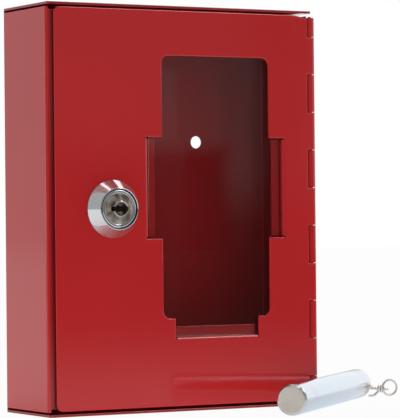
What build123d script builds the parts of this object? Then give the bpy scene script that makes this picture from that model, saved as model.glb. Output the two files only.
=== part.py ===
from build123d import *
import os
from math import asin, atan2, cos, degrees, hypot, radians, sin

# A wall box that keeps a key behind a pane of glass, with its striking hammer lying in front of it.
# Millimetres. +Z is up, -Y is the front, and the origin is the middle of the case's underside.

# ---------------------------------------------------------------- driving dimensions
# Case: one blank of sheet steel, folded into a back, two sides and two flanges.
case_width = 120.0
case_height = 160.0
case_depth = 40.0
case_sheet = 1.0
case_bend_radius = 1.0          # inside radius of the bends at the back
seam_gap = 0.75                 # open seam between a side and the flange over its end
trim_radius = 1.5               # front corners of the flanges
lip_width = 8.0                 # return lip that the cam catches, along X
lip_bend_radius = 0.4           # inside radius of the lip's bend
lip_end_notch = 1.2             # the lip is this much shorter than its side, at each end
wall_hole_diameter = 5.0
wall_hole_spacing = 54.4
wall_hole_drop = 52.3           # of the holes below the case's top

# Door: a flat sheet that fills the front, flush with the edges of the case.
door_sheet = 1.0
door_left_gap = 3.1             # from the case's left face to the door's edge
door_top_gap = 1.7              # from the case's top to the door's edge
door_bottom_gap = 2.05
door_corner_radius = 2.5
door_lip_gap = 0.4              # between the door's back and the lip
relief_length = 7.0             # the edge falls away towards the hinge over this length
relief_drop = 1.2

# Window, with the tabs that are lanced out of it to hold the pane.
window_inset = 45.3             # from the case's right face to the window's middle
window_width = 48.9
window_bottom = 36.8
window_drop = 19.7              # of the window's top below the case's top
window_corner_radius = 3.2
side_clip_rise = 31.5           # of the side tabs' cut-outs above the window's foot
side_clip_length = 39.9
foot_clip_width = 38.0
foot_clip_drop = 7.3            # how far the foot of the pane's channel lies below the window
clip_bend_radius = 0.4          # inside radius of the tabs' bends
clip_lip = 4.0                  # length of a tab behind the pane
clip_side_gap = 0.5             # saw cut at each end of a tab
notch_corner_radius = 1.1

# Pane.
glass_side_cover = 6.0          # of the pane behind the door, past the window at each side
glass_top_cover = 8.9           # and past its top
glass_thickness = 2.0
glass_edge_gap = 0.4            # pane to tab, at each side
glass_front_gap = 0.1           # pane to the door's back
glass_back_gap = 0.15           # pane to the tabs' lips
glass_foot_gap = 0.1
glass_arris = 0.2

# Hinge: rolled knuckles along the whole right edge, on one pin.
pin_diameter = 1.6
pin_clearance = 0.05            # radial, in every knuckle
pin_inset = 0.0                 # pin axis inside the case's right face
pin_overhang = 0.4              # of the pin past the end knuckles
pin_chamfer = 0.3
knuckle_wall = 1.0
end_knuckle_length = 7.9
knuckle_count = 11              # the first, third and so on belong to the case
knuckle_gap = 0.18              # between neighbouring knuckles
hinge_bottom = 3.9
hinge_top_gap = 2.6             # from the last knuckle to the case's top
curl_gap = 0.3                  # between the end of a curl and the sheet that it closes on
hinge_clearance = 0.25          # round the knuckles of the other leaf
tab_length = 3.9                # of the case's tabs, from the pin axis to where they leave the side

# Hook for the key, welded high on the back.
hook_width = 6.0
hook_sheet = 1.2
hook_drop = 4.0                 # of its plate's end below the case's top
hook_plate = 9.0
hook_reach = 9.0
hook_tip = 4.5
hook_bend_radius = 0.8

# Cam lock.
lock_inset = 27.9               # from the case's left face to the lock's axis
bezel_base_diameter = 22.6
bezel_front_diameter = 16.3
bezel_height = 5.7
bezel_rim = 0.6                 # straight edge at the foot of the cone
bezel_edge_radius = 0.45
nose_diameter = 14.9
nose_height = 5.6
nose_edge_radius = 0.6
bezel_bore_gap = 0.15
flange_diameter = 19.8
flange_thickness = 1.6
barrel_diameter = 16.0
barrel_length = 11.0
barrel_flat = 14.4              # across the two flats
barrel_hole_gap = 0.1
plug_head_diameter = 11.9
plug_diameter = 10.9
plug_clearance = 0.05
plug_recess = 0.8               # of the plug's face below the nose
plug_shoulder = 1.0             # height above the door of the step in the bore
plug_edge_radius = 0.35
boss_diameter = 6.3             # raised ring round the keyhole
boss_bore = 4.4
boss_height = 1.5
boss_edge_radius = 0.3
boss_bore_depth = 0.6           # of the bore below the plug's face
keyway_width = 7.3
keyway_thickness = 1.9
keyway_depth = 14.5
key_pin_diameter = 2.6          # round core of the key's tip
wafer_count = 5
wafer_pitch = 1.9
wafer_first = -0.6              # height of the first wafer's middle above the door's front
wafer_length = 10.4
wafer_width = 6.4
wafer_thickness = 0.8
wafer_gap = 0.1
wafer_window = 7.6
wafer_ear = 1.2
spring_radius = 0.4
spring_wire = 0.2
spring_length = 3.6
spring_turns = 3
channel_depth = 0.9             # of the locking channels in the bore
stop_ring_width = 1.9
stop_ring_height = 0.9
stop_travel = 90.0
stop_tab_angle = 40.0
stop_tab_rest = 90.0            # where the washer's tab stands at rest, from +X towards +Z
stop_end_gap = 3.0              # degrees left at each end of the tab's travel
tail_square = 5.6
tail_gap = 0.05
stop_washer_thickness = 0.85
stack_gap = 0.05                # between the pieces stacked on the tail
cam_thickness = 1.5
cam_width = 12.0
cam_reach = 26.5
cam_crank_radius = 15.3         # where the cam steps forward, clear of the nut
cam_bend_radius = 1.0
cam_lip_gap = 0.4               # between the cam's blade and the lip's back
cam_tip_radius = 3.0
nut_flats = 22.0
nut_thickness = 3.5
nut_chamfer = 0.7
thread_gap = 0.03
tooth_washer_thickness = 0.6
tooth_washer_diameter = 20.6
tooth_count = 16
tooth_depth = 1.1
screw_diameter = 3.0
screw_head_diameter = 7.0
screw_head_height = 2.1
screw_length = 5.2
screw_slot = 0.8
spring_washer_diameter = 6.6
spring_washer_thickness = 0.8

# Hammer: a plain steel bar, lying on the ground, with an eye and one knotted link of its chain.
hammer_diameter = 12.2
hammer_length = 103.2
hammer_face_chamfer = 0.8
hammer_tail_chamfer = 0.5
hammer_face_inset = 40.1        # middle of the striking face, from the case's right face
hammer_face_reach = 46.5        # and from the case's front
hammer_heading = 42.7           # of the bar from its striking face, in degrees from +X towards +Y
eye_radius = 2.2                # to the middle of the wire
eye_wire = 1.2
eye_stand_off = 3.4             # from the bar's end to the middle of the eye
eye_shank_diameter = 1.4
eye_shank_length = 5.0
eye_shank_gap = 0.05
link_wire = 1.0
link_hold = 0.7                 # of the link's wire from the middle of the eye, outwards and down
small_loop_radius = 2.5
small_loop_fall = 19.0          # slope of the small loop's plane, in degrees
knot_along = 6.5                # from the hold to the knot, along the bar's heading
knot_across = 7.7               # and square to it
knot_radius = 1.05
knot_turns = 3
large_loop_heading = -8.8
large_loop_radius = 3.2
large_loop_distance = 4.2
stub_length = 3.4
stub_drop = 0.3
tail_drop_length = 3.2
tail_run_length = 2.4

# ---------------------------------------------------------------- derived places
front = -case_depth / 2
back = case_depth / 2
left = -case_width / 2
right = case_width / 2
pin_radius = pin_diameter / 2
knuckle_bore = pin_radius + pin_clearance
knuckle_radius = knuckle_bore + knuckle_wall
wall_hole_height = case_height - wall_hole_drop
window_centre = right - window_inset
window_top = case_height - window_drop
side_clip_bottom = window_bottom + side_clip_rise
side_clip_top = side_clip_bottom + side_clip_length
glass_width = window_width + 2 * glass_side_cover
knuckle_length = (case_height - hinge_bottom - hinge_top_gap - 2 * end_knuckle_length) / (knuckle_count - 2)
pin_x = right - pin_inset
pin_y = front + knuckle_radius
door_left = left + door_left_gap
door_right = pin_x - knuckle_radius - hinge_clearance
door_top = case_height - door_top_gap
door_bottom = door_bottom_gap
lip_front = front + door_sheet + door_lip_gap
clip_face = glass_width / 2 + glass_edge_gap      # from the window's middle to a side tab's inner face
clip_bend_outer = clip_bend_radius + door_sheet
foot_face = window_bottom - foot_clip_drop
glass_height = window_top + glass_top_cover - foot_face - glass_foot_gap
glass_front = front + door_sheet + glass_front_gap
clip_lip_front = door_sheet + glass_front_gap + glass_thickness + glass_back_gap
side_bottom = case_sheet + seam_gap
side_top = case_height - case_sheet - seam_gap
hook_top = case_height - hook_drop
lock_x = left + lock_inset
lock_z = case_height / 2
lock_place = Pos(lock_x, front, lock_z) * Rot(90, 0, 0)      # local +Z points out of the door
hammer_face_x = right - hammer_face_inset
hammer_face_y = front - hammer_face_reach
hammer_radius = hammer_diameter / 2
link_radius = link_wire / 2
too_long = 2 * max(case_width, case_height, case_depth)       # length of cuts that go right through
centred_sector = (Align.NONE, Align.NONE, Align.CENTER)       # its point stays on the axis


# ---------------------------------------------------------------- helpers
def block(x0, x1, y0, y1, z0, z1):
    """A box between two opposite corners."""
    box = Box(x1 - x0, y1 - y0, z1 - z0, align=(Align.MIN, Align.MIN, Align.MIN))
    return Pos(x0, y0, z0) * box


def folded_strip(points, centre_radius, thickness, width):
    """Sheet bent along a line of points in XY, extruded both ways along Z."""
    path = FilletPolyline(*points, radius=centre_radius)
    return extrude(trace(path, thickness), amount=width / 2, both=True)


def turned(*profile):
    """A solid of revolution about Z from a profile of (radius, height) points."""
    outline = Polyline(*[(r, 0, z) for r, z in profile], close=True)
    return revolve(make_face(outline), Axis.Z)


def upright_sheet(sketch, y0, thickness):
    """A sketch drawn in X and Z, as a sheet whose front lies at y0."""
    plane = Plane(origin=(0, y0, 0), x_dir=(1, 0, 0), z_dir=(0, -1, 0))
    return extrude(plane * sketch, amount=-thickness)


def window_rectangle(x0, x1, z0, z1, radius):
    return Pos((x0 + x1) / 2, (z0 + z1) / 2) * RectangleRounded(x1 - x0, z1 - z0, radius)


def knuckle_spans(first):
    """(bottom, top) of every second knuckle, from the given one on, less the gaps between them."""
    lengths = [knuckle_length] * knuckle_count
    lengths[0] = end_knuckle_length
    lengths[-1] = end_knuckle_length
    spans = []
    z = hinge_bottom
    for number, length in enumerate(lengths):
        if number % 2 == first:
            spans.append((z + knuckle_gap / 2, z + length - knuckle_gap / 2))
        z += length
    return spans


hinge_top = case_height - hinge_top_gap


def rolled_curl(z0, z1):
    """The tube of a knuckle, round the pin."""
    tube = Cylinder(knuckle_radius, z1 - z0) - Cylinder(knuckle_bore, z1 - z0)
    return Pos(pin_x, pin_y, (z0 + z1) / 2) * tube


# ---------------------------------------------------------------- case
def make_case_shell():
    bend_outer = case_bend_radius + case_sheet
    outer = block(left, right, front, back, 0, case_height)
    outer = fillet(outer.faces().sort_by(Axis.Y)[-1].edges(), bend_outer)
    inner = block(left + case_sheet, right - case_sheet, front - case_depth, back - case_sheet,
                  case_sheet, case_height - case_sheet)
    inner = fillet(inner.faces().sort_by(Axis.Y)[-1].edges(), case_bend_radius)
    shell = outer - inner

    # Open seams at both ends of the sides, run out through the corners of the back.
    for x0, x1 in ((left - 1, left + bend_outer), (right - bend_outer, right + 1)):
        for z0, z1 in ((case_sheet, side_bottom), (side_top, case_height - case_sheet)):
            shell -= block(x0, x1, front - 1, back - 0.8 * case_sheet, z0, z1)

    # Left side: its front is folded inwards as the lip behind the door.
    lip_line = lip_front + case_sheet / 2
    fold_start = lip_front + case_sheet + lip_bend_radius + 1
    shell -= block(left - 1, left + case_sheet + 0.01, front - 1, fold_start, side_bottom, side_top)
    middle = (side_bottom + side_top) / 2
    height = side_top - side_bottom
    fold = folded_strip(
        [(left + case_sheet / 2, fold_start), (left + case_sheet / 2, lip_line), (left + lip_width, lip_line)],
        lip_bend_radius + case_sheet / 2, case_sheet, height)
    fold = Pos(0, 0, middle) * fold
    for z0, z1 in ((side_bottom - 1, side_bottom + lip_end_notch), (side_top - lip_end_notch, side_top + 1)):
        fold -= block(left + case_sheet + lip_bend_radius, left + lip_width + 1, front, fold_start, z0, z1)
    shell += fold

    # Right side: cut back for the door's knuckles, and stepped out and rolled into the case's own.
    tab_root = pin_y + tab_length
    side_front = pin_y + knuckle_radius + hinge_clearance
    shell -= block(right - case_sheet - 0.01, right + 1, front - 1, side_front, side_bottom, side_top)
    flange_corners = shell.edges().filter_by(Axis.Z).filter_by_position(Axis.Y, front - 0.1, front + 0.1)
    shell = fillet(flange_corners.group_by(Axis.X)[-1], trim_radius)
    for z0, z1 in knuckle_spans(0):
        shell -= block(right - case_sheet - 0.01, right + 1, side_front - 1, tab_root, z0, z1)
        shell += rolled_tab(z0, z1, tab_root)

    for x in (-wall_hole_spacing / 2, wall_hole_spacing / 2):
        hole = Cylinder(wall_hole_diameter / 2, 3 * case_sheet, rotation=(90, 0, 0))
        shell -= Pos(x, back, wall_hole_height) * hole
    return shell


def rolled_tab(z0, z1, tab_root):
    """A tab of the case's side: it steps out, wraps the pin and ends against its own foot."""
    outer_x = pin_x + knuckle_radius
    step_start = pin_y + 0.5
    outline = Polyline(
        (right, tab_root), (outer_x, step_start), (outer_x, pin_y),
        (outer_x - knuckle_wall, pin_y), (outer_x - knuckle_wall, step_start),
        (right - case_sheet, tab_root), close=True)
    tab = Pos(0, 0, z0) * extrude(make_face(outline), amount=z1 - z0)
    tab += rolled_curl(z0, z1)
    tab -= Pos(pin_x, pin_y, (z0 + z1) / 2) * Cylinder(knuckle_bore, z1 - z0)
    slot = Pos(0, knuckle_radius) * Box(curl_gap, 2 * knuckle_wall + 0.2, z1 - z0 + 1)
    return tab - Pos(pin_x, pin_y, (z0 + z1) / 2) * Rot(0, 0, 25) * slot


def make_hinge_pin():
    length = hinge_top - hinge_bottom + 2 * pin_overhang
    pin = Cylinder(pin_radius, length)
    pin = chamfer(pin.edges().filter_by(GeomType.CIRCLE), pin_chamfer)
    return Pos(pin_x, pin_y, (hinge_top + hinge_bottom) / 2) * pin


def make_key_hook():
    """A bent strip: a plate on the back, a shelf and an upturned tip."""
    plate_line = back - case_sheet - hook_sheet / 2
    shelf = hook_top - hook_plate
    tip_line = plate_line - hook_reach
    points = [(hook_top, plate_line), (shelf, plate_line), (shelf, tip_line), (shelf + hook_tip, tip_line)]
    strip = folded_strip(points, hook_bend_radius + hook_sheet / 2, hook_sheet, hook_width)
    # Drawn with X upwards: turned so that local X becomes +Z and local Z becomes -X.
    return Pos(window_centre, 0, 0) * Rot(0, -90, 0) * strip


# ---------------------------------------------------------------- door
def make_clip(width):
    """A lanced tab: back through the sheet, then inwards behind the pane. Local X points away
    from the window's middle, Y into the case."""
    riser = clip_face + door_sheet / 2
    lip_line = clip_lip_front + door_sheet / 2
    return folded_strip(
        [(clip_face + clip_bend_outer + 0.3, door_sheet / 2), (riser, door_sheet / 2),
         (riser, lip_line), (clip_face - clip_lip, lip_line)],
        clip_bend_radius + door_sheet / 2, door_sheet, width)


def make_door_panel():
    outline = Pos((door_left + door_right) / 2, (door_bottom + door_top) / 2) * Rectangle(
        door_right - door_left, door_top - door_bottom)
    left_corners = outline.vertices().group_by(Axis.X)[0]
    outline = fillet(left_corners, door_corner_radius)
    for z, away in ((door_top, -1), (door_bottom, 1)):
        wedge = Polyline((door_right + 1, z - away), (door_right - relief_length, z),
                         (door_right, z + away * relief_drop),
                         (door_right + 1, z + away * relief_drop), close=True)
        outline -= make_face(wedge)

    # Cross-shaped window: the tabs' cut-outs widen it at both sides and at its foot.
    reach = clip_face + clip_bend_outer
    half = window_width / 2
    outline -= window_rectangle(window_centre - half, window_centre + half, window_bottom, window_top,
                                window_corner_radius)
    outline -= window_rectangle(window_centre - reach, window_centre + reach, side_clip_bottom,
                                side_clip_top, notch_corner_radius)
    foot_half = foot_clip_width / 2
    outline -= window_rectangle(window_centre - foot_half, window_centre + foot_half,
                                foot_face - clip_bend_outer, window_bottom + window_corner_radius,
                                notch_corner_radius)
    barrel_hole = Circle(barrel_diameter / 2 + barrel_hole_gap)
    barrel_hole &= Rectangle(barrel_diameter + 1, barrel_flat + 2 * barrel_hole_gap)
    outline -= Pos(lock_x, lock_z) * barrel_hole
    door = upright_sheet(outline, front, door_sheet)

    side_clip = make_clip(side_clip_top - side_clip_bottom - 2 * clip_side_gap)
    side_height = (side_clip_top + side_clip_bottom) / 2
    door += Pos(window_centre, front, side_height) * side_clip
    door += Pos(window_centre, front, side_height) * mirror(side_clip, Plane.YZ)
    foot_clip = Pos(-clip_face, 0, 0) * make_clip(foot_clip_width - 2 * clip_side_gap)
    door += Pos(window_centre, front, foot_face) * Rot(0, 90, 0) * foot_clip

    for z0, z1 in knuckle_spans(1):
        leaf = block(door_right - 0.01, pin_x, front, front + door_sheet, z0, z1)
        knuckle = rolled_curl(z0, z1)
        knuckle -= block(pin_x - knuckle_radius - 1, pin_x - 0.3, front, front + door_sheet + curl_gap,
                         z0 - 1, z1 + 1)
        door += knuckle
        door += leaf - Pos(pin_x, pin_y, (z0 + z1) / 2) * Cylinder(knuckle_bore, z1 - z0)
    return door


def make_glass_pane():
    pane = Box(glass_width, glass_thickness, glass_height)
    pane = chamfer(pane.edges(), glass_arris)
    return Pos(window_centre, glass_front + glass_thickness / 2,
               foot_face + glass_foot_gap + glass_height / 2) * pane


# ---------------------------------------------------------------- lock
def make_lock_bezel():
    base = bezel_base_diameter / 2
    rim = bezel_front_diameter / 2
    bore = nose_diameter / 2 + bezel_bore_gap
    seat = flange_diameter / 2 + bezel_bore_gap
    seat_height = flange_thickness + bezel_bore_gap
    ring = turned((seat, 0), (base, 0), (base, bezel_rim), (rim, bezel_height), (bore, bezel_height),
                  (bore, seat_height), (seat, seat_height))
    front_edge = ring.edges().filter_by(GeomType.CIRCLE).group_by(Axis.Z)[-1].sort_by(SortBy.RADIUS)[-1]
    return lock_place * fillet(front_edge, bezel_edge_radius)


def make_lock_housing():
    bore = plug_diameter / 2 + plug_clearance
    head_bore = plug_head_diameter / 2 + plug_clearance
    body = turned((bore, -barrel_length), (barrel_diameter / 2, -barrel_length), (barrel_diameter / 2, 0),
                  (flange_diameter / 2, 0), (flange_diameter / 2, flange_thickness),
                  (nose_diameter / 2, flange_thickness), (nose_diameter / 2, nose_height),
                  (head_bore, nose_height), (head_bore, plug_shoulder), (bore, plug_shoulder))
    nose_edge = body.edges().filter_by(GeomType.CIRCLE).group_by(Axis.Z)[-1].sort_by(SortBy.RADIUS)[-1]
    body = fillet(nose_edge, nose_edge_radius)
    mouth_edge = body.edges().filter_by(GeomType.CIRCLE).group_by(Axis.Z)[-1].sort_by(SortBy.RADIUS)[0]
    body = fillet(mouth_edge, plug_edge_radius)
    outer = barrel_diameter / 2
    for side in (-1, 1):
        flat = Box(barrel_diameter, outer, barrel_length, align=(Align.CENTER, Align.MIN, Align.MAX))
        body -= Rot(0, 0, 90 * (1 - side)) * Pos(0, barrel_flat / 2, 0) * flat

    # Raised wall at the rear that stops the washer's tab.
    ring = Cylinder(outer, stop_ring_height) - Cylinder(outer - stop_ring_width, stop_ring_height)
    swept = stop_travel + stop_tab_angle + 2 * stop_end_gap
    opening_middle = stop_tab_rest - stop_travel / 2
    sector = Cylinder(outer + 1, stop_ring_height + 1, arc_size=swept, align=centred_sector)
    ring -= Rot(0, 0, opening_middle - swept / 2) * sector
    body += Pos(0, 0, -barrel_length - stop_ring_height / 2) * ring
    for side in (-1, 1):
        shave = Box(barrel_diameter, outer, 2 * stop_ring_height)
        body -= Rot(0, 0, 90 * (1 - side)) * Pos(0, barrel_flat / 2 + outer / 2, -barrel_length) * shave


    # Channels along the bore into which the wafers spring when the key is drawn.
    depth = wafer_pitch * wafer_count + 0.5
    channel = Box(2 * (bore + channel_depth), wafer_width + 2 * wafer_gap, depth,
                  align=(Align.CENTER, Align.CENTER, Align.MAX))
    body -= Pos(0, 0, wafer_first + wafer_pitch / 2) * channel
    return lock_place * body


def wafer_heights():
    return [wafer_first - number * wafer_pitch for number in range(wafer_count)]


ear_x = 1.6                      # where a wafer's ear meets its spring
ear_inner = wafer_width / 2
spring_line = ear_inner + wafer_ear / 2 + 0.1


def make_lock_plug():
    face = nose_height - plug_recess
    rear = -barrel_length - stack_gap
    tail_end = rear - stop_washer_thickness - 3 * stack_gap - cam_thickness
    plug = turned((0, rear), (plug_diameter / 2, rear), (plug_diameter / 2, plug_shoulder + stack_gap),
                  (plug_head_diameter / 2, plug_shoulder + stack_gap), (plug_head_diameter / 2, face), (0, face))
    face_edge = plug.edges().filter_by(GeomType.CIRCLE).group_by(Axis.Z)[-1]
    plug = fillet(face_edge, plug_edge_radius)
    plug += Pos(0, 0, tail_end) * Box(tail_square, tail_square, rear - tail_end + 0.1,
                                      align=(Align.CENTER, Align.CENTER, Align.MIN))
    boss = Pos(0, 0, face) * Cylinder(boss_diameter / 2, boss_height,
                                      align=(Align.CENTER, Align.CENTER, Align.MIN))
    boss = fillet(boss.edges().filter_by(GeomType.CIRCLE).group_by(Axis.Z)[-1], boss_edge_radius)
    plug += boss
    keyhole_top = (Align.CENTER, Align.CENTER, Align.MAX)
    plug -= Pos(0, 0, face + boss_height) * Cylinder(boss_bore / 2, boss_height + boss_bore_depth,
                                                     align=keyhole_top)
    plug -= Pos(0, 0, face + boss_height) * Box(keyway_width, keyway_thickness, keyway_depth + boss_height,
                                                align=keyhole_top)
    plug -= Pos(0, 0, face) * Cylinder(key_pin_diameter / 2, keyway_depth, align=keyhole_top)

    wafer_slot = Box(plug_head_diameter, wafer_width + 2 * wafer_gap, wafer_thickness + 2 * wafer_gap)
    pocket_end = ear_x + wafer_ear + wafer_gap
    pocket_start = ear_x - spring_length - wafer_gap
    pocket = Pos(pocket_start, ear_inner, 0) * Box(
        pocket_end - pocket_start, wafer_ear + 0.2, 2 * (spring_radius + spring_wire),
        align=(Align.MIN, Align.MIN, Align.CENTER))
    for height in wafer_heights():
        plug -= Pos(0, 0, height) * wafer_slot
        plug -= Pos(0, 0, height) * pocket
    screw_hole_top = tail_end + screw_length - spring_washer_thickness
    plug -= Pos(0, 0, screw_hole_top) * Cylinder(screw_diameter / 2 + thread_gap, screw_length + 1,
                                                 align=keyhole_top)
    return lock_place * plug


def make_tumbler_wafers():
    """Wafers at the height at which the key holds them, level with the plug's skin."""
    wafers = []
    for height in wafer_heights():
        wafer = Box(wafer_length, wafer_width, wafer_thickness)
        wafer &= Cylinder(plug_diameter / 2 - 2 * wafer_gap, wafer_thickness)
        ear = Pos(ear_x, ear_inner - 0.1, 0) * Box(wafer_ear, wafer_ear, wafer_thickness,
                                                   align=(Align.MIN, Align.MIN, Align.CENTER))
        wafer += ear
        wafer -= Box(wafer_window, keyway_thickness + 0.3, wafer_thickness)
        wafer -= Cylinder(key_pin_diameter / 2 + 0.1, wafer_thickness)
        wafers.append(lock_place * Pos(0, 0, height) * wafer)
    return Compound(children=wafers)


def make_tumbler_springs():
    """One coil behind the ear of each wafer."""
    height = spring_length - spring_wire - 2 * wafer_gap
    coil_path = Helix(pitch=height / spring_turns, height=height, radius=spring_radius)
    section = Plane(coil_path @ 0, z_dir=coil_path % 0) * Rectangle(spring_wire, spring_wire)
    coil = sweep(section, path=coil_path, is_frenet=True)
    springs = []
    for level in wafer_heights():
        place = Pos(ear_x - spring_length + spring_wire / 2 + wafer_gap, spring_line, level)
        springs.append(lock_place * place * Rot(0, 90, 0) * coil)
    return Compound(children=springs)


def square_hole(thickness):
    side = tail_square + 2 * tail_gap
    return Box(side, side, 3 * thickness)


def make_stop_washer():
    reach = barrel_diameter / 2 - stop_ring_width
    washer = Cylinder(reach - 0.2, stop_washer_thickness)
    tab = Cylinder(barrel_flat / 2 - 0.1, stop_washer_thickness, arc_size=stop_tab_angle,
                   align=centred_sector)
    washer += Rot(0, 0, stop_tab_rest - stop_tab_angle / 2) * tab
    washer -= square_hole(stop_washer_thickness)
    height = -barrel_length - 2 * stack_gap - stop_washer_thickness / 2
    return lock_place * Pos(0, 0, height) * washer


def make_lock_cam():
    """A cranked strip: hub on the tail, a step forward past the nut, and the blade behind the lip."""
    hub_line = -barrel_length - stop_washer_thickness - 3 * stack_gap - cam_thickness / 2
    blade_front = -(door_sheet + door_lip_gap + case_sheet + cam_lip_gap)
    blade_line = blade_front - cam_thickness / 2
    hub = cam_width / 2
    points = [(-hub, hub_line), (cam_crank_radius, hub_line), (cam_crank_radius, blade_line),
              (cam_reach, blade_line)]
    strip = folded_strip(points, cam_bend_radius + cam_thickness / 2, cam_thickness, cam_width)
    strip = Rot(90, 0, 0) * strip                      # local X along the cam, local Z out of the door
    plan = Circle(hub)
    plan += Rectangle(cam_reach - cam_tip_radius, cam_width, align=(Align.MIN, Align.CENTER))
    plan += Pos(cam_reach - cam_width, 0) * RectangleRounded(2 * cam_width, cam_width, cam_tip_radius)
    cam = strip & extrude(plan, amount=too_long / 2, both=True)
    cam -= Pos(0, 0, hub_line) * square_hole(cam_thickness)
    return lock_place * Rot(0, 0, -90) * cam


def stack_end():
    """Height of the cam's outer face, on which the spring washer lies."""
    return -barrel_length - stop_washer_thickness - 3 * stack_gap - cam_thickness


def make_cam_washer():
    washer = Cylinder(spring_washer_diameter / 2, spring_washer_thickness)
    washer -= Cylinder(screw_diameter / 2 + 0.15, spring_washer_thickness)
    washer -= Pos(spring_washer_diameter / 2, 0, 0) * Rot(25, 0, 0) * Box(
        spring_washer_diameter - screw_diameter, 0.4, 3 * spring_washer_thickness)
    height = stack_end() - stack_gap - spring_washer_thickness / 2
    return lock_place * Pos(0, 0, height) * washer


def make_cam_screw():
    seat = stack_end() - 2 * stack_gap - spring_washer_thickness
    head = Pos(0, 0, seat) * Cylinder(screw_head_diameter / 2, screw_head_height,
                                      align=(Align.CENTER, Align.CENTER, Align.MAX))
    head = fillet(head.edges().filter_by(GeomType.CIRCLE).group_by(Axis.Z)[0], 0.45 * screw_head_height)
    shank = Pos(0, 0, seat - 0.1) * Cylinder(screw_diameter / 2, screw_length,
                                             align=(Align.CENTER, Align.CENTER, Align.MIN))
    slot = Pos(0, 0, seat - screw_head_height) * Box(screw_head_diameter, screw_slot, screw_head_height)
    return lock_place * (head + shank - slot)


def make_tooth_washer():
    outer = tooth_washer_diameter / 2
    washer = Cylinder(outer, tooth_washer_thickness)
    washer -= Cylinder(barrel_diameter / 2 + 0.2, 2 * tooth_washer_thickness)
    notch = Box(2 * tooth_depth, 0.4 * 6.28 * outer / tooth_count, 2 * tooth_washer_thickness)
    for number in range(tooth_count):
        washer -= Rot(0, 0, number * 360 / tooth_count) * Pos(outer, 0, 0) * notch
    return lock_place * Pos(0, 0, -door_sheet - tooth_washer_thickness / 2) * washer


def make_lock_nut():
    nut = extrude(RegularPolygon(nut_flats / 2, 6, major_radius=False), amount=nut_thickness)
    crown = turned((0, 0), (nut_flats / 2 + nut_chamfer, 0),
                   (nut_flats / 2 + nut_chamfer + 3 * nut_thickness, 3 * nut_thickness), (0, 3 * nut_thickness))
    nut &= Pos(0, 0, 0) * crown
    nut -= Cylinder(barrel_diameter / 2 + thread_gap, too_long)
    height = -door_sheet - tooth_washer_thickness - nut_thickness
    return lock_place * Pos(0, 0, height) * Rot(0, 0, 30) * nut


# ---------------------------------------------------------------- hammer and chain link
heading = radians(hammer_heading)
hammer_plane = Plane(origin=(hammer_face_x, hammer_face_y, hammer_radius),
                     x_dir=(0, 0, 1), z_dir=(cos(heading), sin(heading), 0))
along_bar = Vector(cos(heading), sin(heading), 0)
hold = Vector(hammer_face_x, hammer_face_y, hammer_radius - link_hold) + along_bar * (
    hammer_length + eye_stand_off + link_hold)


def make_hammer_rod():
    rod = Cylinder(hammer_radius, hammer_length, align=(Align.CENTER, Align.CENTER, Align.MIN))
    ends = rod.edges().filter_by(GeomType.CIRCLE).sort_by(Axis.Z)
    rod = chamfer(ends[0], hammer_face_chamfer)
    rod = chamfer(rod.edges().filter_by(GeomType.CIRCLE).sort_by(Axis.Z)[-1], hammer_tail_chamfer)
    rod -= Pos(0, 0, hammer_length) * Cylinder(eye_shank_diameter / 2 + eye_shank_gap,
                                               2 * (eye_shank_length + eye_shank_gap))
    return hammer_plane * rod


def make_hammer_eye():
    """A wire eye screwed into the bar's end, its ring standing upright."""
    ring = Rot(90, 0, 0) * Torus(eye_radius, eye_wire / 2)
    shank_end = eye_stand_off - eye_radius
    shank = Pos(0, 0, shank_end - eye_stand_off) * Cylinder(
        eye_shank_diameter / 2, shank_end + eye_shank_length, align=(Align.CENTER, Align.CENTER, Align.MAX))
    eye = ring + shank
    return hammer_plane * Pos(0, 0, hammer_length + eye_stand_off) * eye


def round_wire(path):
    """The link's wire along a planar path."""
    section = Plane(path @ 0, z_dir=path % 0) * Circle(link_radius)
    return sweep(section, path=path)


def loop_path(apex, centre, radius):
    """A drop-shaped loop: from beside the apex, round a circle, and back to the apex's other side."""
    axis = atan2(centre[1] - apex[1], centre[0] - apex[0])
    ends = []
    touches = []
    for side in (1, -1):
        end = (apex[0] - side * 0.8 * link_radius * sin(axis), apex[1] + side * 0.8 * link_radius * cos(axis))
        reach = hypot(centre[0] - end[0], centre[1] - end[1])
        slant = atan2(centre[1] - end[1], centre[0] - end[0]) + side * asin(radius / reach)
        length = reach * cos(asin(radius / reach))
        ends.append(end)
        touches.append((end[0] + length * cos(slant), end[1] + length * sin(slant)))
    far = (centre[0] + radius * cos(axis), centre[1] + radius * sin(axis))
    return Wire([Line(ends[0], touches[0]), ThreePointArc(touches[0], far, touches[1]), Line(touches[1], ends[1])])


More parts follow.
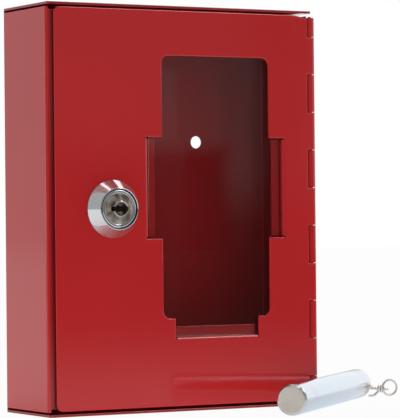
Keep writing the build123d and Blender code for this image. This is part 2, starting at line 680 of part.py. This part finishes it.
def make_chain_link():
    """A knotted link: a slanting loop through the eye, a knot, and a loop that stands on the ground."""
    fall = radians(small_loop_fall)
    along = along_bar * cos(fall) - Vector(0, 0, sin(fall))
    across = Vector(sin(heading), -cos(heading), 0)
    slanting = Plane(origin=hold, x_dir=along, z_dir=along.cross(across))
    knot = hold + along * knot_along + across * knot_across
    turn = radians(large_loop_heading)
    upright = Plane(origin=(knot.X, knot.Y, 0), x_dir=(cos(turn), sin(turn), 0), z_dir=(sin(turn), -cos(turn), 0))

    turn_pitch = 1.1 * link_wire
    core_length = knot_turns * turn_pitch - 0.4 * link_wire
    place = upright * Pos(0, knot.Z, 0)
    link = place * Rot(0, 90, 0) * Cylinder(knot_radius, core_length)
    for number in range(knot_turns):
        distance = (number - (knot_turns - 1) / 2) * turn_pitch
        link += place * Pos(distance, 0, 0) * Rot(0, 80, 0) * Torus(knot_radius, link_radius)
    small_loop = loop_path((knot_along, knot_across), (small_loop_radius, 0), small_loop_radius)
    link += slanting * round_wire(small_loop)
    large_loop = loop_path((0, knot.Z), (large_loop_distance, large_loop_radius + link_radius), large_loop_radius)
    link += upright * round_wire(large_loop)
    stub = Wire([Line((0, knot.Z), (stub_length, knot.Z - stub_drop))])
    link += upright * round_wire(stub)
    tail = FilletPolyline((-link_radius, knot.Z - link_radius), (-tail_drop_length, link_radius),
                          (-tail_drop_length - tail_run_length, link_radius), radius=link_wire)
    link += upright * round_wire(tail.wire())
    return link


# ---------------------------------------------------------------- files
nodes = {
    "case_shell": make_case_shell,
    "hinge_pin": make_hinge_pin,
    "key_hook": make_key_hook,
    "door_panel": make_door_panel,
    "glass_pane": make_glass_pane,
    "lock_bezel": make_lock_bezel,
    "lock_housing": make_lock_housing,
    "lock_plug": make_lock_plug,
    "tumbler_wafers": make_tumbler_wafers,
    "tumbler_springs": make_tumbler_springs,
    "stop_washer": make_stop_washer,
    "lock_cam": make_lock_cam,
    "cam_washer": make_cam_washer,
    "cam_screw": make_cam_screw,
    "tooth_washer": make_tooth_washer,
    "lock_nut": make_lock_nut,
    "hammer_rod": make_hammer_rod,
    "hammer_eye": make_hammer_eye,
    "chain_link": make_chain_link,
}

os.makedirs("parts", exist_ok=True)
for name, make in nodes.items():
    export_step(make(), f"parts/{name}.step")
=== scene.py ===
import math

import bmesh
import bpy
from mathutils import Matrix, Vector


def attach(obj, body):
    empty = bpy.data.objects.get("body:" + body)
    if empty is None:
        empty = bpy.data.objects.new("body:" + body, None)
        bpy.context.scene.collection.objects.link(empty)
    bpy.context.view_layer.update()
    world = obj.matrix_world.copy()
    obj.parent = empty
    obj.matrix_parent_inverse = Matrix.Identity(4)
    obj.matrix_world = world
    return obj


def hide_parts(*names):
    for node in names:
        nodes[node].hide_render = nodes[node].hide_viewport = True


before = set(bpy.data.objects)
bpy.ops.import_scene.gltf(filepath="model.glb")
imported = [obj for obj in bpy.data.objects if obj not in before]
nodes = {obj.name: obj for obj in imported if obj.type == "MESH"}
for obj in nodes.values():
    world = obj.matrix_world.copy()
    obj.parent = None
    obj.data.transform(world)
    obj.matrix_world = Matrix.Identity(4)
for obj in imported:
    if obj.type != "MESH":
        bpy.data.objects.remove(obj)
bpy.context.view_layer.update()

scene = bpy.context.scene


# ---------------------------------------------------------------- shader nodes
def feed(tree, value, socket):
    """Joins a socket to another, or sets it to a number or a colour."""
    if isinstance(value, bpy.types.NodeSocket):
        tree.links.new(value, socket)
    else:
        socket.default_value = value


def add(tree, kind, **values):
    """A shader node; values name its settings, or its inputs by their socket names."""
    node = tree.nodes.new("ShaderNode" + kind)
    for key, value in values.items():
        if hasattr(node, key):
            setattr(node, key, value)
        else:
            feed(tree, value, node.inputs[key.replace("_", " ")])
    return node


def calculate(tree, operation, *values, clamp=False):
    """One calculation on sockets and numbers."""
    node = add(tree, "Math", operation=operation, use_clamp=clamp)
    for socket, value in zip(node.inputs, values):
        feed(tree, value, socket)
    return node.outputs[0]


def colour_ramp(tree, value, stops):
    """The colour at a value, between (place, colour) pairs."""
    node = add(tree, "ValToRGB", Fac=value)
    elements = node.color_ramp.elements
    while len(elements) < len(stops):
        elements.new(0.5)
    for element, (place, colour) in zip(elements, stops):
        element.position = place
        element.color = colour
    return node.outputs["Color"]


def ramp(tree, value, stops):
    """The level at a value, between (place, level) pairs."""
    return colour_ramp(tree, value, [(place, (level, level, level, 1)) for place, level in stops])


def spread(tree, value, to, within=(0.0, 1.0)):
    """The value, spread from one span of numbers over another."""
    node = add(tree, "MapRange", From_Min=within[0], From_Max=within[1], To_Min=to[0], To_Max=to[1])
    tree.links.new(value, node.inputs["Value"])
    return node.outputs["Result"]


def blend_colours(tree, share, first, second, way="MIX"):
    """The first colour, blended with the second as far as the share says."""
    node = add(tree, "Mix", data_type="RGBA", blend_type=way)
    for place, value in ((0, share), (6, first), (7, second)):
        feed(tree, value, node.inputs[place])
    return node.outputs[2]


def blend_levels(tree, share, first, second):
    """The first level, or the second where the share is 1."""
    node = add(tree, "Mix", data_type="FLOAT")
    for place, value in ((0, share), (2, first), (3, second)):
        feed(tree, value, node.inputs[place])
    return node.outputs[0]


def object_place(tree):
    """The piece's own coordinates, in metres."""
    return add(tree, "TexCoord").outputs["Object"]


# ---------------------------------------------------------------- shader groups
peel_share = 0.25               # of the orange peel in the enamel's relief, beside the slow wave
mottle_size = 25.0
mottle_span = (0.3, 0.7)
enamel_dullness = (0.06, 0.1)
patch_size = 90.0               # of the dull patches on worked metal
patch_span = (0.35, 0.65)
grain_span = (0.12, 0.4)


def new_group(name, inputs, outputs):
    """An empty node group with named sockets. Each input is (name, kind, default)."""
    group = bpy.data.node_groups.new(name, "ShaderNodeTree")
    for socket, kind, default in inputs:
        made = group.interface.new_socket(socket, in_out="INPUT", socket_type="NodeSocket" + kind)
        made.default_value = default
    for socket, kind in outputs:
        group.interface.new_socket(socket, in_out="OUTPUT", socket_type="NodeSocket" + kind)
    entry = group.nodes.new("NodeGroupInput")
    leave = group.nodes.new("NodeGroupOutput")
    return group, entry.outputs, leave.inputs


def stained(group, tint, depth, pattern, span):
    """The tint, darkened by up to the depth where the pattern is low."""
    lowest = calculate(group, "SUBTRACT", 1.0, depth)
    shade = spread(group, pattern, (lowest, 1.0), span)
    return blend_colours(group, 1.0, tint, shade, "MULTIPLY")


def make_skin_group():
    """Skin of sprayed enamel: a slow wave, a fine orange peel and a faint mottle."""
    group, entry, leave = new_group(
        "enamel_skin",
        [("Peel Size", "Float", 700.0), ("Wave Size", "Float", 60.0),
         ("Tint", "Color", (1, 1, 1, 1)), ("Mottle", "Float", 0.05)],
        [("Color", "Color"), ("Height", "Float"), ("Roughness", "Float")])
    place = object_place(group)
    peel = add(group, "TexNoise", Vector=place, Scale=entry["Peel Size"], Detail=2.0, Roughness=0.5)
    wave = add(group, "TexNoise", Vector=place, Scale=entry["Wave Size"], Detail=1.0, Roughness=0.4)
    mottle = add(group, "TexNoise", Vector=place, Scale=mottle_size, Detail=4.0).outputs["Fac"]
    height = calculate(group, "MULTIPLY_ADD", peel.outputs["Fac"], peel_share, wave.outputs["Fac"])
    feed(group, height, leave["Height"])
    colour = stained(group, entry["Tint"], entry["Mottle"], mottle, mottle_span)
    feed(group, colour, leave["Color"])
    feed(group, spread(group, mottle, enamel_dullness), leave["Roughness"])
    return group


def make_grain_group():
    """Grain of worked metal: fine lines along one direction, with broad dull patches."""
    group, entry, leave = new_group(
        "metal_grain",
        [("Tint", "Color", (1, 1, 1, 1)), ("Lines", "Vector", (400.0, 400.0, 400.0)),
         ("Roughness Low", "Float", 0.2), ("Roughness High", "Float", 0.35),
         ("Stain", "Float", 0.1)],
        [("Color", "Color"), ("Height", "Float"), ("Roughness", "Float")])
    place = object_place(group)
    stretched = add(group, "Mapping", Vector=place, Scale=entry["Lines"]).outputs["Vector"]
    lines = add(group, "TexNoise", Vector=stretched, Scale=1.0, Detail=3.0).outputs["Fac"]
    patches = add(group, "TexNoise", Vector=place, Scale=patch_size, Detail=3.0).outputs["Fac"]
    dullness = spread(group, calculate(group, "MULTIPLY", lines, patches),
                      (entry["Roughness Low"], entry["Roughness High"]), grain_span)
    feed(group, dullness, leave["Roughness"])
    feed(group, lines, leave["Height"])
    feed(group, stained(group, entry["Tint"], entry["Stain"], patches, patch_span), leave["Color"])
    return group


enamel_skin = make_skin_group()
metal_grain = make_grain_group()


# ---------------------------------------------------------------- materials
skin_depth = 0.0001             # how deep the relief of enamel and metal is, in metres
enamel_relief = 0.12
refraction = 1.5                # of glass and enamel
grit_size = 3000.0              # of the grit on the pane's ground edges
grit_relief = 0.3
grit_depth = 0.00005
grit_dullness = (0.45, 0.65)


def linear(red, green, blue):
    """A colour as it is written on a screen, 0 to 255, for a shader."""
    def channel(value):
        value /= 255
        return value / 12.92 if value <= 0.04045 else ((value + 0.055) / 1.055) ** 2.4
    return (channel(red), channel(green), channel(blue), 1.0)


def new_material(name, **sockets):
    """A material and its shader, whose inputs are named by their sockets."""
    material = bpy.data.materials.new(name)
    material.use_nodes = True
    shader = material.node_tree.nodes["Principled BSDF"]
    for socket, value in sockets.items():
        shader.inputs[socket.replace("_", " ")].default_value = value
    return material, shader


def emboss(tree, shader, height, strength, depth):
    """Feeds a height into the shader as a bump."""
    relief = add(tree, "Bump", Strength=strength, Distance=depth, Height=height)
    tree.links.new(relief.outputs["Normal"], shader.inputs["Normal"])


def use_group(material, shader, group, strength, **values):
    """Feeds a skin group into the shader, with its height as a bump."""
    tree = material.node_tree
    skin = add(tree, "Group", node_tree=group)
    for socket, value in values.items():
        skin.inputs[socket.replace("_", " ")].default_value = value
    for socket, output in (("Base Color", "Color"), ("Roughness", "Roughness")):
        tree.links.new(skin.outputs[output], shader.inputs[socket])
    emboss(tree, shader, skin.outputs["Height"], strength, skin_depth)


def enamel(name, tint):
    """Sprayed enamel in one tint."""
    material, shader = new_material(name, IOR=refraction)
    use_group(material, shader, enamel_skin, enamel_relief, Tint=tint)
    return material


def metal(name, tint, low, high, lines=(400.0, 400.0, 400.0), stain=0.1, bump=0.1):
    """Worked metal, whose roughness goes from low to high along its grain."""
    material, shader = new_material(name, Metallic=1.0)
    use_group(material, shader, metal_grain, bump, Tint=tint, Lines=lines, Roughness_Low=low,
              Roughness_High=high, Stain=stain)
    return material


def filmed_metal(name, size, stops, dullness):
    """Metal whose thin film changes tint from patch to patch. Each stop is (place, colour)."""
    material, shader = new_material(name, Metallic=1.0)
    tree = material.node_tree
    film = add(tree, "TexNoise", Vector=object_place(tree), Scale=size, Detail=2.0, Distortion=0.6)
    film = film.outputs["Fac"]
    tint = colour_ramp(tree, film, [(place, linear(*colour)) for place, colour in stops])
    feed(tree, tint, shader.inputs["Base Color"])
    feed(tree, spread(tree, film, dullness), shader.inputs["Roughness"])
    return material


def make_ground_glass():
    """The pane's edge, ground dull and pale, with a fine grit."""
    material, shader = new_material("ground_glass", Base_Color=(0.86, 0.95, 0.92, 1),
                                    Roughness=0.55, Transmission_Weight=1.0, IOR=refraction)
    tree = material.node_tree
    grit = add(tree, "TexNoise", Vector=object_place(tree), Scale=grit_size, Detail=2.0)
    grit = grit.outputs["Fac"]
    emboss(tree, shader, grit, grit_relief, grit_depth)
    feed(tree, spread(tree, grit, grit_dullness), shader.inputs["Roughness"])
    return material


# Painted shade on the case in the shut line beside the door's edge, and a darker tint on its
# flanges' cut edges. Places are across the fold of its lip, or along its height, in metres.
shut_start, shut_width = -0.0595, 0.004
# painted shade: the paint's level across the fold of the lip, darkest where the door's edge shades
# it
shut_line_shade_levels = [(-0.0588, 1.0), (-0.0583, 0.6), (-0.0579, 0.36), (-0.0568, 0.36), (-0.0560, 1.0)]
lip_back = -0.0182
middle_height = 0.08
flange_height = 0.079           # from the middle height to the inner face of a flange
# a darker tint on the flanges' cut edges
flange_edge_tint = linear(120, 36, 35)


def paint_case_shade_and_edge_tint(material):
    """Painted shade in the shut line beside the door's edge, and a darker tint on the flanges' cut
    edges.
    """
    tree = material.node_tree
    paint = tree.nodes["Principled BSDF"].inputs["Base Color"]
    place = add(tree, "SeparateXYZ", Vector=object_place(tree)).outputs
    across = spread(tree, place["X"], (0.0, 1.0), (shut_start, shut_start + shut_width))
    shade = ramp(tree, across, [((x - shut_start) / shut_width, level) for x, level in shut_line_shade_levels])
    behind = calculate(tree, "GREATER_THAN", place["Y"], lip_back)
    # painted shade in the shut line, only on the lip's front
    painted_shade = calculate(tree, "MAXIMUM", shade, behind)
    shaded_paint = blend_colours(tree, 1.0, paint.links[0].from_socket, painted_shade, "MULTIPLY")
    facing = add(tree, "SeparateXYZ", Vector=add(tree, "TexCoord").outputs["Normal"])
    upright = calculate(tree, "LESS_THAN", calculate(tree, "ABSOLUTE", facing.outputs["Z"]), 0.5)
    height = calculate(tree, "ABSOLUTE", calculate(tree, "SUBTRACT", place["Z"], middle_height))
    flange = calculate(tree, "GREATER_THAN", height, flange_height)
    cut_edge = calculate(tree, "MULTIPLY", flange, upright)
    # the darker tint on the flanges' upright cut edges
    feed(tree, blend_colours(tree, cut_edge, shaded_paint, flange_edge_tint), paint)


enamel_tint = linear(173, 34, 36)
red_enamel = enamel("red_enamel", enamel_tint)
case_enamel = enamel("case_enamel", enamel_tint)
paint_case_shade_and_edge_tint(case_enamel)
pane_glass, _ = new_material("pane_glass", Base_Color=(0.985, 0.996, 0.992, 1), Roughness=0.0,
                             Transmission_Weight=1.0, IOR=refraction)
lock_chrome = metal("lock_chrome", linear(225, 226, 228), 0.04, 0.1, stain=0.03, bump=0.02)
satin_chrome = metal("satin_chrome", linear(218, 221, 222), 0.16, 0.26, stain=0.05, bump=0.03)
bright_zinc = metal("bright_zinc", linear(205, 208, 212), 0.22, 0.4, stain=0.15)
cut_brass = metal("cut_brass", linear(205, 170, 95), 0.2, 0.35)
drawn_wire = metal("drawn_wire", linear(226, 223, 218), 0.42, 0.52)
ground_glass = make_ground_glass()
# Blue-white zinc plate, whose clear film shimmers from cyan to lilac.
passivated_zinc = filmed_metal(
    "passivated_zinc", 38.0,
    [(0.3, (204, 220, 217)), (0.45, (200, 217, 225)), (0.6, (207, 217, 228)),
     (0.72, (205, 208, 223))], (0.12, 0.18))
# The plug's plate, worn through and stained brown by hands and keys.
plug_chrome = filmed_metal(
    "plug_chrome", 210.0,
    [(0.34, (112, 98, 86)), (0.46, (176, 160, 146)), (0.56, (196, 182, 168)),
     (0.68, (214, 216, 218))], (0.26, 0.44))
turned_zinc = metal("turned_zinc", linear(224, 221, 212), 0.36, 0.48, lines=(900.0, 900.0, 60.0),
                    stain=0.08, bump=0.05)

finishes = {
    "case_shell": red_enamel,
    "hinge_pin": red_enamel,
    "key_hook": red_enamel,
    "door_panel": red_enamel,
    "glass_pane": pane_glass,
    "lock_bezel": lock_chrome,
    "lock_housing": satin_chrome,
    "lock_plug": plug_chrome,
    "tumbler_wafers": cut_brass,
    "tumbler_springs": drawn_wire,
    "stop_washer": bright_zinc,
    "lock_cam": bright_zinc,
    "cam_washer": bright_zinc,
    "cam_screw": bright_zinc,
    "tooth_washer": bright_zinc,
    "lock_nut": bright_zinc,
    "hammer_rod": passivated_zinc,
    "hammer_eye": drawn_wire,
    "chain_link": drawn_wire,
}
for node, material in finishes.items():
    coats = nodes[node].data.materials
    coats.clear()
    coats.append(material)


# ---------------------------------------------------------------- pieces that stand for CAD nodes
pin_line = Vector((0.06, -0.01815))         # the hinge's axis, from above
knuckle_reach = 0.0021
weld_reach = 2e-6
flat_angle = math.radians(0.5)
curve_angle = math.radians(30)              # a sharper edge than this isn't part of a curve
corner_angle = math.radians(35)             # and one sharper than this is rounded by the paint
paint_steps = 3
hair = 0.0001                               # a small distance that tells two faces apart


def place_piece(name, mesh, body, replaced):
    """A piece that rides on a body and stands for one CAD node."""
    piece = bpy.data.objects.new(name, mesh)
    scene.collection.objects.link(piece)
    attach(piece, body)
    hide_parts(replaced)
    return piece


def welded_copy(node):
    """The node's mesh with its split corners joined and its flats made whole."""
    shape = bmesh.new()
    shape.from_mesh(nodes[node].data)
    bmesh.ops.remove_doubles(shape, verts=shape.verts, dist=weld_reach)
    bmesh.ops.dissolve_limit(shape, angle_limit=flat_angle, verts=shape.verts, edges=shape.edges)
    return shape


def smooth_curves(shape):
    """Curves shade smoothly, and corners stay sharp."""
    for face in shape.faces:
        face.smooth = True
    for edge in shape.edges:
        edge.smooth = edge.calc_face_angle(0) < curve_angle


def finished_mesh(shape, name, *materials):
    """The shape as a mesh, with its materials in the order of their numbers."""
    mesh = bpy.data.meshes.new(name)
    shape.to_mesh(mesh)
    shape.free()
    for material in materials:
        mesh.materials.append(material)
    return mesh


def rounded_sheet(node, name, body, material, chosen_radii):
    """The node's sheet, with its cut edges rounded by the paint on them."""
    shape = welded_copy(node)
    for chosen, radius in chosen_radii:
        corners = [edge for edge in shape.edges if edge.is_manifold
                   and edge.calc_face_angle_signed() > corner_angle and chosen(edge)]
        bmesh.ops.bevel(shape, geom=corners, offset=radius, segments=paint_steps, profile=0.5,
                        affect="EDGES", clamp_overlap=False, offset_type="OFFSET")
    smooth_curves(shape)
    piece = place_piece(name, finished_mesh(shape, name, material), body, node)
    keep = piece.modifiers.new("flats", "WEIGHTED_NORMAL")
    keep.keep_sharp = True
    keep.weight = 100


def turned_bar(name, foot, heading, profile, steps, materials):
    """A level bar, turned. Each profile point is (distance along, radius, material number)."""
    along = Vector((math.cos(heading), math.sin(heading), 0))
    across = Vector((-math.sin(heading), math.cos(heading), 0))
    shape = bmesh.new()
    rings = []
    for distance, radius, _ in profile:
        middle = foot + along * distance
        if radius == 0:
            rings.append([shape.verts.new(middle)])
            continue
        rings.append([shape.verts.new(middle + across * (radius * math.cos(turn)) +
                                      Vector((0, 0, radius * math.sin(turn))))
                      for turn in (2 * math.pi * step / steps for step in range(steps))])
    for (first, second), (_, _, number) in zip(zip(rings, rings[1:]), profile[1:]):
        for step in range(steps):
            after = (step + 1) % steps
            corners = [first[step % len(first)], first[after % len(first)],
                       second[after % len(second)], second[step % len(second)]]
            face = shape.faces.new(list(dict.fromkeys(corners)))
            face.material_index = number
            face.smooth = True
    bmesh.ops.recalc_face_normals(shape, faces=shape.faces)
    return finished_mesh(shape, name, *materials)


# The hammer: its striking face is turned flat, inside a satin chamfer with rounded edges.
bar_heading = math.radians(42.7)
bar_face = Vector((0.0199, -0.0665, 0.0061))
bar_radius = 0.0061
bar_length = 0.1032
bar_steps = 96
plated, turned, satin = range(3)
bar_finishes = [passivated_zinc, turned_zinc, satin_chrome]
bar_profile = [
    (0.00006, 0.0, turned), (0.00004, 0.002, turned), (0.0, 0.0045, turned),
    (0.0, 0.00515, turned), (0.00003, 0.00529, turned), (0.00012, 0.00537, turned),
    (0.00068, 0.00596, satin), (0.00078, 0.00604, satin),
    (0.00092, 0.00609, plated), (0.00115, bar_radius, plated), (0.03, bar_radius, plated),
    (0.07, bar_radius, plated), (0.1024, bar_radius, plated), (0.10262, 0.00607, plated),
    (0.10275, 0.00602, plated), (0.10308, 0.00569, plated), (0.10316, 0.0056, turned),
    (bar_length, 0.00545, turned), (bar_length, 0.003, turned), (bar_length, 0.0, turned)]
hammer_mesh = turned_bar("hammer_bar", bar_face, bar_heading, bar_profile, bar_steps, bar_finishes)
place_piece("hammer_bar", hammer_mesh, "hammer", "hammer_rod")


def ground_pane(name, arris):
    """The glass pane, with its corners taken off. The top and bottom edges are ground."""
    shape = welded_copy("glass_pane")
    bmesh.ops.bevel(shape, geom=list(shape.edges), offset=arris, segments=1, profile=0.5,
                    affect="EDGES", clamp_overlap=True, offset_type="OFFSET")
    for face in shape.faces:
        face.material_index = 1 if abs(face.normal.z) > 0.5 else 0
    mesh = finished_mesh(shape, name, pane_glass, ground_glass)
    place_piece(name, mesh, "pane", "glass_pane")


ground_pane("ground_pane", arris=0.0002)

lock_line = Vector((-0.0321, 0.08))         # the lock's axis, from in front
boss_reach = 0.0033
plug_face = -0.0248
plug_forward = 0.0007           # how much further out the plug's head stands, near the nose


def bright_plug(name):
    """The lock's plug: a dull stained face, with a bright raised ring round the keyhole."""
    shape = welded_copy("lock_plug")
    for face in shape.faces:
        middle = face.calc_center_median()
        in_ring = (middle.xz - lock_line).length < boss_reach
        face.material_index = 1 if in_ring and middle.y < plug_face - hair else 0
    for point in shape.verts:
        if point.co.y < plug_face + hair:
            point.co.y -= plug_forward
    smooth_curves(shape)
    mesh = finished_mesh(shape, name, plug_chrome, lock_chrome)
    place_piece(name, mesh, "lock_rotor", "lock_plug")


bright_plug("bright_plug")

door_front = -0.02
flat_slack = 1e-5               # how far a point of the door's face may be off its plane
face_edge = 0.0006              # how far the paint rounds the edges of the door's face
sheet_edge = 0.00032            # and the other cut edges


def off_knuckle(edge):
    """Knuckle ends stay sharp, because they turn on each other with hardly a gap."""
    return any((point.co.xy - pin_line).length >= knuckle_reach for point in edge.verts)


def on_face(edge):
    """Whether an edge lies in the door's front face."""
    return all(point.co.y < door_front + flat_slack for point in edge.verts) and off_knuckle(edge)


def off_face(edge):
    """Whether an edge lies behind the rounding of the door's front face."""
    behind = door_front + face_edge + hair
    return all(point.co.y > behind for point in edge.verts) and off_knuckle(edge)


rounded_sheet("case_shell", "painted_case", "case", case_enamel, [(off_knuckle, sheet_edge)])
rounded_sheet("door_panel", "painted_door", "door", red_enamel,
              [(on_face, face_edge), (off_face, sheet_edge)])


# ---------------------------------------------------------------- camera
millimetre = 0.001
camera_yaw = math.radians(29.716)
camera_pitch = math.radians(0.391)
camera_roll = math.radians(-0.543)
camera_place = Vector((-491.21, -892.65, 72.95)) * millimetre
focal_pixels = 2535.1
picture_height = 418
sensor = 36.0                   # its width, in the lens's millimetres
nearest, farthest = 0.05, 20    # what the camera sees, in metres from it


def make_camera():
    """The camera, turned to its heading and then rolled a little."""
    ahead = Vector((math.sin(camera_yaw) * math.cos(camera_pitch),
                    math.cos(camera_yaw) * math.cos(camera_pitch), math.sin(camera_pitch)))
    level = Vector((math.cos(camera_yaw), -math.sin(camera_yaw), 0))
    above = level.cross(ahead)
    side = level * math.cos(camera_roll) + above * math.sin(camera_roll)
    up = above * math.cos(camera_roll) - level * math.sin(camera_roll)
    data = bpy.data.cameras.new("view")
    data.sensor_width = sensor
    data.lens = focal_pixels * sensor / picture_height
    data.clip_start = nearest
    data.clip_end = farthest
    camera = bpy.data.objects.new("view", data)
    turn = Matrix((side, up, -ahead)).transposed().to_4x4()
    camera.matrix_world = Matrix.Translation(camera_place) @ turn
    scene.collection.objects.link(camera)
    scene.camera = camera


make_camera()


# ---------------------------------------------------------------- floor
# How bright the floor looks in a mirror, from far in front of the object (less than 0) to behind
# it, in metres.
floor_near = 0.4
floor_far = -1.2
mirrored_floor = [(-1.2, 0.05), (-0.8, 0.07), (-0.64, 0.18), (-0.43, 0.42), (-0.3, 0.62),
                  (-0.16, 0.92), (0.1, 1.4)]
floor_reach = 6.0
floor_white = (0.9, 0.9, 0.9, 1)
floor_shine = 0.94              # share of the floor that glows white, and takes no shadow
floor_light = [(0.0, 1.4), (0.15, 1.35), (0.4, 0.85), (1.0, 0.7)]   # what it gives, by distance


def mirror_rays(tree, rays):
    """1 for what is seen in a mirror or through glass, and 0 for a straight or scattered look."""
    either = calculate(tree, "MAXIMUM", rays["Is Glossy Ray"], rays["Is Transmission Ray"])
    straight = calculate(tree, "LESS_THAN", rays["Diffuse Depth"], 0.5)
    return calculate(tree, "MULTIPLY", either, straight)


def make_floor():
    """A white floor that the object's shadow falls on. In a mirror it darkens towards the room."""
    mesh = bpy.data.meshes.new("floor")
    corners = [(-floor_reach, -floor_reach, 0), (floor_reach, -floor_reach, 0),
               (floor_reach, floor_reach, 0), (-floor_reach, floor_reach, 0)]
    mesh.from_pydata(corners, [], [(0, 1, 2, 3)])
    floor = bpy.data.objects.new("floor", mesh)
    scene.collection.objects.link(floor)
    material, shader = new_material("white_floor", Base_Color=floor_white, Roughness=1.0,
                                    Specular_IOR_Level=0.0)
    tree = material.node_tree
    rays = add(tree, "LightPath").outputs
    in_mirror = mirror_rays(tree, rays)
    position = add(tree, "NewGeometry").outputs["Position"]
    along = add(tree, "SeparateXYZ", Vector=position).outputs["Y"]
    depth = calculate(tree, "SUBTRACT", along, floor_far)
    depth = calculate(tree, "DIVIDE", depth, floor_near - floor_far, clamp=True)
    fade = ramp(tree, depth, [((y - floor_far) / (floor_near - floor_far), level)
                              for y, level in mirrored_floor])
    paint = blend_colours(tree, in_mirror, floor_white, fade)
    feed(tree, paint, shader.inputs["Base Color"])
    away = add(tree, "VectorMath", operation="LENGTH")
    feed(tree, position, away.inputs[0])
    given = ramp(tree, away.outputs["Value"], floor_light)
    glow = add(tree, "Emission", Strength=blend_levels(tree, rays["Is Camera Ray"], given, 1.0))
    share = calculate(tree, "MULTIPLY_ADD", in_mirror, -floor_shine, floor_shine)
    mixed = add(tree, "MixShader", Fac=share)
    feed(tree, shader.outputs["BSDF"], mixed.inputs[1])
    feed(tree, glow.outputs["Emission"], mixed.inputs[2])
    feed(tree, mixed.outputs["Shader"], tree.nodes["Material Output"].inputs["Surface"])
    mesh.materials.append(material)


# ---------------------------------------------------------------- room and light
# How bright the room looks in a mirror, from the dark front to the white wall behind.
mirrored_room = [(-1.0, 0.02), (-0.8, 0.03), (-0.5, 0.25), (-0.3, 0.42), (0.12, 0.47),
                 (0.35, 0.75), (0.6, 0.82)]
strip_across = (0.591, 0.807, 0.0)          # a long narrow lamp overhead
strip_offset = 0.2
strip_edge = [(0.016, 1.0), (0.03, 0.0)]
strip_height = [(0.9, 0.0), (0.93, 1.0)]
strip_level = 4.5
mirrored_window = [(0.3, 0.0), (0.55, 1.1)]     # by how far to the right and behind
diagonal = 0.7071                               # the cosine of half a right angle
left_lamp_across = [(0.58, 0.0), (0.64, 1.0)]   # a lamp far on the left, seen in the left bend
left_lamp_behind = [(0.22, 0.0), (0.3, 1.0)]
left_lamp_level = 1.9
spot_heading = (0.53, -0.47, 0.706)         # a small lamp in front, high on the right
spot_edge = [(0.987, 0.0), (0.996, 1.0)]
spot_level = 11.0
post_heading = (0.4955, 0.8686, 0.0)        # a grey post behind, which darkens what turns away
post_edge = [(0.98, 0.0), (0.99, 1.0)]
post_level = 0.68
# Walls on the right of the camera: one straight ahead, a dark gap, a side wall, and the wall
# next to the window. They begin at a line on the right, or anywhere above a low height.
wall_start = [(0.500, 0.0), (0.508, 1.0)]
wall_foot = [(0.0, 0.25), (0.021, 1.0)]
wall_top = [(0.026, 0.0), (0.034, 1.0)]
wall_shades = [(0.512, 0.22), (0.520, 0.02), (0.527, 0.02), (0.54, 0.3), (0.56, 0.95)]
sky_front = 0.89                # light that falls on the object from straight ahead
sky_back = 0.6                  # and from behind
sky_left = 0.88                 # the share of it that comes from the left


def combine(tree, operation, first, *others):
    """The product or the greatest of several levels."""
    for other in others:
        first = calculate(tree, operation, first, other)
    return first


def lean(tree, direction, heading):
    """How far a direction points along a heading."""
    node = add(tree, "VectorMath", operation="DOT_PRODUCT")
    feed(tree, direction, node.inputs[0])
    feed(tree, heading, node.inputs[1])
    return node.outputs["Value"]


def make_world():
    """Even white light and a white background; what shines mirrors a darker room in front."""
    world = bpy.data.worlds.new("room")
    world.use_nodes = True
    tree = world.node_tree
    rays = add(tree, "LightPath").outputs
    direction = add(tree, "TexCoord").outputs["Generated"]
    towards = add(tree, "SeparateXYZ", Vector=direction).outputs

    depth = calculate(tree, "MULTIPLY_ADD", towards["Y"], 0.5, 0.5, clamp=True)
    room = ramp(tree, depth, [((y + 1) / 2, level) for y, level in mirrored_room])
    beside = calculate(tree, "ADD", lean(tree, direction, strip_across), strip_offset)
    strip = combine(tree, "MULTIPLY", ramp(tree, calculate(tree, "ABSOLUTE", beside), strip_edge),
                    ramp(tree, towards["Z"], strip_height), strip_level)
    backward = calculate(tree, "ADD", towards["X"], towards["Y"])
    window = ramp(tree, calculate(tree, "MULTIPLY", backward, diagonal), mirrored_window)
    leftward = calculate(tree, "MULTIPLY", towards["X"], -1.0)
    left_lamp = combine(tree, "MULTIPLY", ramp(tree, leftward, left_lamp_across),
                        ramp(tree, towards["Y"], left_lamp_behind), left_lamp_level)
    spot = calculate(tree, "MULTIPLY", ramp(tree, lean(tree, direction, spot_heading), spot_edge),
                     spot_level)
    mirrored = combine(tree, "MAXIMUM", room, strip, window, left_lamp, spot)

    solid = calculate(tree, "SUBTRACT", 1.0, rays["Is Transmission Ray"])
    post = ramp(tree, lean(tree, direction, post_heading), post_edge)
    post = calculate(tree, "MULTIPLY", post, solid)
    mirrored = blend_levels(tree, post, mirrored, post_level)

    wall = calculate(tree, "MULTIPLY", ramp(tree, towards["X"], wall_start),
                     ramp(tree, towards["Z"], wall_foot))
    wall = calculate(tree, "MAXIMUM", wall, ramp(tree, towards["Z"], wall_top))
    wall = calculate(tree, "MULTIPLY", wall, ramp(tree, towards["X"], wall_shades))
    mirrored = calculate(tree, "MAXIMUM", mirrored, wall)

    sky = calculate(tree, "MULTIPLY_ADD", depth, sky_back - sky_front, sky_front)
    sideways = calculate(tree, "MULTIPLY_ADD", towards["X"], 1 - sky_left, 1.0)
    sky = calculate(tree, "MULTIPLY", sky, sideways)
    level = blend_levels(tree, rays["Is Camera Ray"], sky, 1.0)
    level = blend_levels(tree, mirror_rays(tree, rays), level, mirrored)
    background = tree.nodes["Background"]
    background.inputs["Color"].default_value = (1, 1, 1, 1)
    feed(tree, level, background.inputs["Strength"])
    scene.world = world


make_floor()
make_world()
scene.view_settings.view_transform = "Standard"
